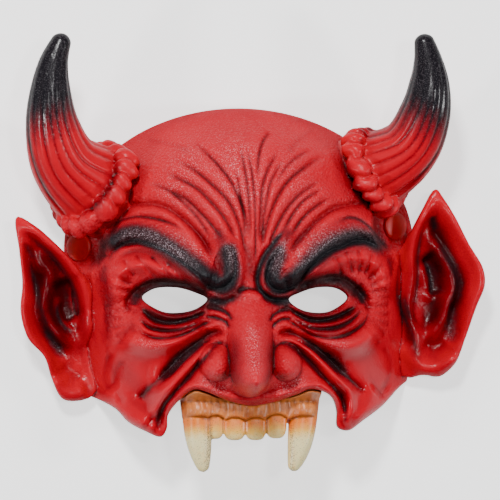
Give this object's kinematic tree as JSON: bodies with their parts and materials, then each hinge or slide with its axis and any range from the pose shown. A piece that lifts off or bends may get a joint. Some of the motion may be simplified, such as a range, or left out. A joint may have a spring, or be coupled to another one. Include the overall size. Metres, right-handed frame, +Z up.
{
  "type": "demon half mask",
  "caption": "Hollow latex half mask of a frowning demon, with fluted horns, pointed ears, hooked nose and an upper set of fanged teeth, lying face up on its rim",
  "frame": {"origin": "middle of the outline on the floor that the mask lies on", "axes": "+Z up out of the face, +Y from the mouth towards the crown and horns, +X to the viewer's right when looking down on the face"},
  "size_m": [0.2286, 0.2108, 0.0988],
  "materials": {
    "latex": "satin red latex, hand painted black on brows, horn tips and creases",
    "tooth_resin": "glossy ivory running to orange brown at the gum",
    "stud_plastic": "glossy red enamel"
  },
  "bodies": {
    "root": {"mask_shell": "latex", "teeth": "tooth_resin", "stud_left": "stud_plastic", "stud_right": "stud_plastic"}
  },
  "joints": []
}
